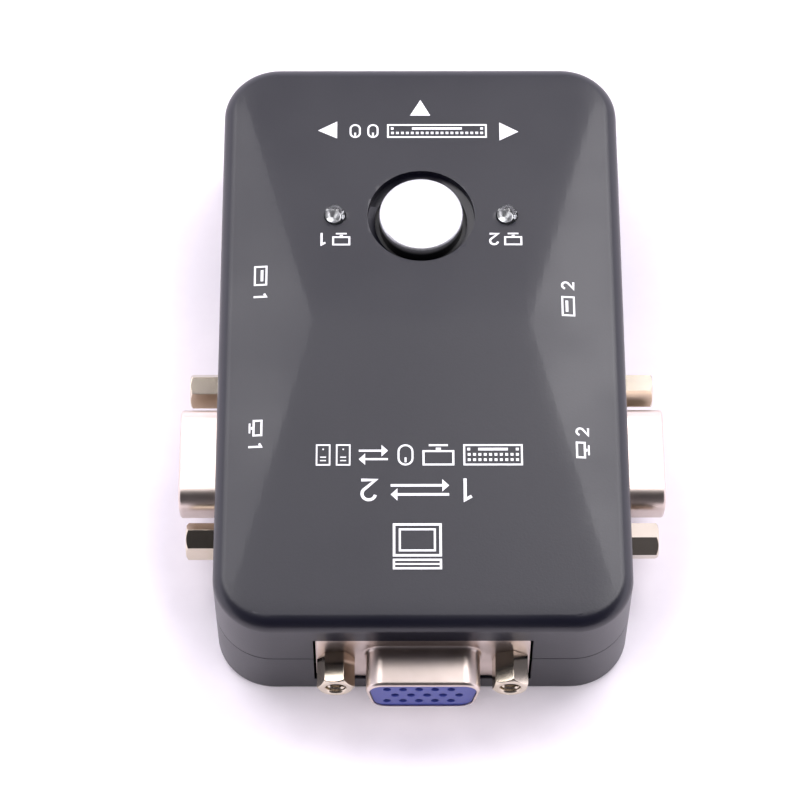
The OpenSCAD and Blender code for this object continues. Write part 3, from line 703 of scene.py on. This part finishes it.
print("ink film, mm:", 2 * INK_T / MM)


# %% Printed marks: the pictures, in millimetres, with the lower left corner at the origin
def one(h, width=0.32):
    return band([(0.1 * h, 0.78 * h), (0.36 * h, h - width / 2), (0.36 * h, 0)], width)


def two(h, width=0.32):
    r = 0.27 * h
    top = arc(0.32 * h, h - r - width / 2, r, 168, -38)
    return band(top + [(0.05 * h, width / 2), (0.62 * h, width / 2)], width)


def keyboard(w, h):
    rows, key, gap = 3 if h > 3 else 2, 0.42, 0.3
    marks = box(0, 0, w, h, FINE)
    first_x, last_x = FINE + gap, w - FINE - gap - key
    per_row = int((w - 1) / (key + gap))
    step_x = (w - 2 * FINE - gap) / per_row
    step_y = (h - 2 * FINE - gap) / rows
    for row in range(rows):
        y = FINE + gap + row * step_y
        if row == 0:
            marks += dot(first_x, y, key, key) + dot(w * 0.25, y, w * 0.5, key)
            marks += dot(last_x, y, key, key)
            continue
        for i in range(per_row):
            marks += dot(first_x + i * step_x, y, key, key)
    return marks


def mouse(w, h):
    r = (w - FINE) / 2
    body = arc(w / 2, h - w / 2, r, 0, 180) + arc(w / 2, w / 2, r, 180, 360)
    return band(body, FINE, closed=True) + band([(w / 2, h * 0.62), (w / 2, h * 0.85)], FINE)


def monitor(w, h, width=0.3):
    foot = 0.16 * h
    return (box(0, foot + 0.12 * h, w, h, width) + dot(w * 0.42, foot, w * 0.16, 0.12 * h)
            + dot(w * 0.2, 0, w * 0.6, max(foot * 0.55, 0.25)))


def computer(w, h, line=0.22):
    marks = box(0, 0, w, h, line)
    for level in (0.74, 0.58):
        marks += dot(w * 0.3, h * level, w * 0.4, line * 0.8)
    return marks + dot(w / 2 - line / 2, h * 0.2, line, line)


def plug_face(w, h):
    return box(0, 0, w, h, FINE) + dot(w * 0.22, h * 0.5, w * 0.56, h * 0.2)


def two_way_arrow(w, h, width=0.32):
    """An arrow to the right above an arrow to the left."""
    marks, head = [], h * 0.27
    for y, way in ((h * 0.7, 1), (h * 0.3, -1)):
        tip, tail = (w, 0) if way > 0 else (0, w)
        marks += band([(tail, y), (tip - way * head, y)], width)
        marks += [(Vector((tip, y)), Vector((tip - way * head, y + way * head)),
                   Vector((tip - way * head, y - way * head)))]
    return marks


def big_monitor():
    """The wide picture beside the monitor socket: a screen in a frame on a low base."""
    return (box(0, 2.1, 7, 7.3, 0.36) + box(0.85, 2.9, 6.15, 6.5, 0.3)
            + box(0, 0.1, 7, 1.75, 0.32) + dot(0.3, 0.8, 6.4, 0.26))


print("faces in a keyboard, a mouse and a monitor:",
      [len(m) for m in (keyboard(8.6, 3.4), mouse(2.3, 3.4), monitor(4.6, 3.4))])

# %% Printed marks: laid on the top
prints = bmesh.new()


def lay(faces, at=(0, 0), degrees=0):
    """Lays a mark on the top. It is drawn upright, and turned about the point where it starts."""
    spin = Matrix.Rotation(math.radians(degrees), 2)
    for face in faces:
        low_ring, high_ring = [], []
        for q in face:
            x, y = (Vector(at) + spin @ q) * MM
            z = top_height(x, y)
            low_ring.append(prints.verts.new((x, y, z - INK_T)))
            high_ring.append(prints.verts.new((x, y, z + INK_T)))
        prints.faces.new(high_ring)
        for i in range(len(face)):
            j = (i + 1) % len(face)
            prints.faces.new((low_ring[i], low_ring[j], high_ring[j], high_ring[i]))


def triangle(*points):
    return [tuple(Vector(p) for p in points)]


lay(triangle((0, 41.1), (-1.6, 38.2), (1.5, 38.2)))
lay(triangle((-15.6, 35.45), (-12.7, 34.0), (-12.7, 37.1)))
lay(triangle((14.9, 35.2), (12.0, 36.9), (12.0, 33.6)))
lay(keyboard(15.2, 2.5), (10.1, 36.6), 180)
lay(mouse(1.7, 2.5), (-6.4, 36.6), 180)
lay(mouse(1.7, 2.5), (-9.1, 36.6), 180)
for numeral, x in ((one, -10.6), (two, 15.1)):
    lay(monitor(2.7, 2.2, 0.28), (x, 16.9), 180)
    lay(moved(numeral(2.2), 3.5), (x, 16.9), 180)
for numeral, at, degrees in ((one, (-24.9, 11.4), -90), (two, (22.7, 2.6), 90)):
    lay(plug_face(3.4, 2.0), at, degrees)
    lay(moved(numeral(2.0), 4.6), at, degrees)
for numeral, at, degrees in ((one, (-25.2, -14.6), -90), (two, (24.2, -21.0), 90)):
    lay(monitor(2.7, 2.0), at, degrees)
    lay(moved(numeral(2.0), 3.7), at, degrees)
upper_line = (
    (keyboard(8.6, 3.4), 0), (monitor(4.6, 3.4), 9.9), (mouse(2.3, 3.4), 15.8),
    (two_way_arrow(4.2, 3.4), 19.5), (computer(2.1, 3.4), 24.9), (computer(2.1, 3.4), 27.8))
for mark, start in upper_line:
    lay(moved(mark, start), (14.5, -18.8), 180)
lower_line = ((one(3.6, 0.45), 0), (two_way_arrow(8.4, 3.6, 0.4), 3.6), (two(3.6, 0.45), 14.0))
for mark, start in lower_line:
    lay(moved(mark, start), (7.4, -24.3), 180)
lay(big_monitor(), (-4.3, -38.7))
bmesh.ops.recalc_face_normals(prints, faces=prints.faces)
printed = make_piece("case_print", prints, INK)
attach(printed, "case")
print("printed faces:", len(printed.data.polygons))

# %% [markdown]
# ## Inside the lights
# A clear light shows what is cast into it: a post with a small cup that holds the chip, and a
# thinner post beside it. Both are cut from the tinned strip that also forms the leads. Each is
# built as rings of points round an upright axis.
# %% Inside the lights
CUP_X, POST_X = -0.25 * MM, 0.85 * MM


def turned(edit, axis_x, axis_y, profile, around=16):
    """A turned shape from pairs of radius and height, closed at both ends."""
    rings = []
    for r, z in profile:
        rings.append([edit.verts.new((axis_x + r * math.cos(2 * math.pi * i / around),
                                      axis_y + r * math.sin(2 * math.pi * i / around), z))
                      for i in range(around)])
    for low_ring, high_ring in zip(rings, rings[1:]):
        for i in range(around):
            j = (i + 1) % around
            edit.faces.new((low_ring[i], low_ring[j], high_ring[j], high_ring[i]))
    edit.faces.new(reversed(rings[0]))
    edit.faces.new(rings[-1])


def lead_frame(node):
    low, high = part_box(node)
    x, y = (low.x + high.x) / 2, (low.y + high.y) / 2
    foot, cup = low.z + 0.1 * MM, high.z - 2.0 * MM
    edit = bmesh.new()
    turned(edit, x + CUP_X, y, [
        (0.3 * MM, foot), (0.3 * MM, cup - 0.9 * MM), (0.55 * MM, cup - 0.5 * MM),
        (0.75 * MM, cup), (0.68 * MM, cup), (0.35 * MM, cup - 0.35 * MM),
        (0.02 * MM, cup - 0.35 * MM)])
    turned(edit, x + POST_X, y, [
        (0.2 * MM, foot), (0.2 * MM, cup - 0.2 * MM), (0.3 * MM, cup),
        (0.02 * MM, cup + 0.02 * MM)])
    bmesh.ops.recalc_face_normals(edit, faces=edit.faces)
    piece = make_piece(node + "_lead_frame", edit, TINNED)
    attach(piece, "case")


LIGHTS = ("led_1", "led_2")
for node in LIGHTS:
    lead_frame(node)
print("lead frames:", len(LIGHTS))

# %% [markdown]
# ## Floor and light
# The part lies on a sheet of white paper. A dark glossy case is lit by what it mirrors, so two soft
# boxes hang behind it, left and right, high enough for its top to mirror them, and the dark side of
# the room is behind the camera. Two fill lights open up the shadow in front of the case. They are
# switched off for mirror reflections, so they light the paper but leave no glints on the case. The
# room itself is brightest low down, all round except on the dark side.
# %% Floor and light
floor_mesh = bmesh.new()
bmesh.ops.create_grid(floor_mesh, x_segments=1, y_segments=1, size=1.5)
floor = make_piece("floor", floor_mesh, resin("white_paper_sweep", "#f7f2f8", "#f1ebf2", 3, 0.6))


def soft_box(name, at, size, power, mirrored=True):
    lamp = bpy.data.lights.new(name, "AREA")
    lamp.shape = "RECTANGLE"
    lamp.size, lamp.size_y = size
    lamp.energy = power
    lamp.color = (1.0, 0.975, 1.0)
    holder = bpy.data.objects.new(name, lamp)
    holder.visible_glossy = mirrored
    bpy.context.scene.collection.objects.link(holder)
    at = Vector(at)
    holder.matrix_world = Matrix.Translation(at) @ at.to_track_quat("Z", "Y").to_matrix().to_4x4()


soft_box("box_left", (-0.45, 0.48, 1.03), (0.6, 0.5), 4.9)
soft_box("box_right", (0.42, 0.48, 1.03), (0.6, 0.5), 6.6)
soft_box("fill_left", (-0.75, -0.45, 0.8), (0.8, 0.8), 7, mirrored=False)
soft_box("fill_right", (0.75, -0.45, 0.8), (0.8, 0.8), 7, mirrored=False)

DARK_WAY = Vector((0, -1, 1)).normalized()
LIGHT_LOW, LIGHT_OVERHEAD, LIGHT_IN_THE_DARK = 2.2, 0.65, 0.06
world = bpy.data.worlds.new("studio")
world.use_nodes = True
room = world.node_tree
room.nodes.clear()
way = add(room, "ShaderNodeTexCoord").outputs["Generated"]
height = add(room, "ShaderNodeSeparateXYZ", inputs={"Vector": way}).outputs["Z"]
towards_dark = add(room, "ShaderNodeVectorMath", {"operation": "DOT_PRODUCT"}, {
    0: way, 1: DARK_WAY}).outputs["Value"]
wall_light = add(room, "ShaderNodeMapRange", {"interpolation_type": "SMOOTHSTEP"}, {
    "Value": height, "From Min": 0.35, "From Max": 0.85,
    "To Min": LIGHT_LOW, "To Max": LIGHT_OVERHEAD})
shade = add(room, "ShaderNodeMapRange", {"interpolation_type": "SMOOTHSTEP"}, {
    "Value": towards_dark, "From Min": 0.25, "From Max": 0.6,
    "To Min": 1.0, "To Max": LIGHT_IN_THE_DARK})
strength = add(room, "ShaderNodeMath", {"operation": "MULTIPLY"}, {
    0: wall_light.outputs["Result"], 1: shade.outputs["Result"]})
sky = add(room, "ShaderNodeBackground", inputs={
    "Color": linear("#f5f1ff"), "Strength": strength.outputs[0]})
add(room, "ShaderNodeOutputWorld", inputs={"Surface": sky.outputs[0]})
bpy.context.scene.world = world
bpy.context.scene.view_settings.view_transform = "Standard"
bpy.context.scene.view_settings.look = "None"
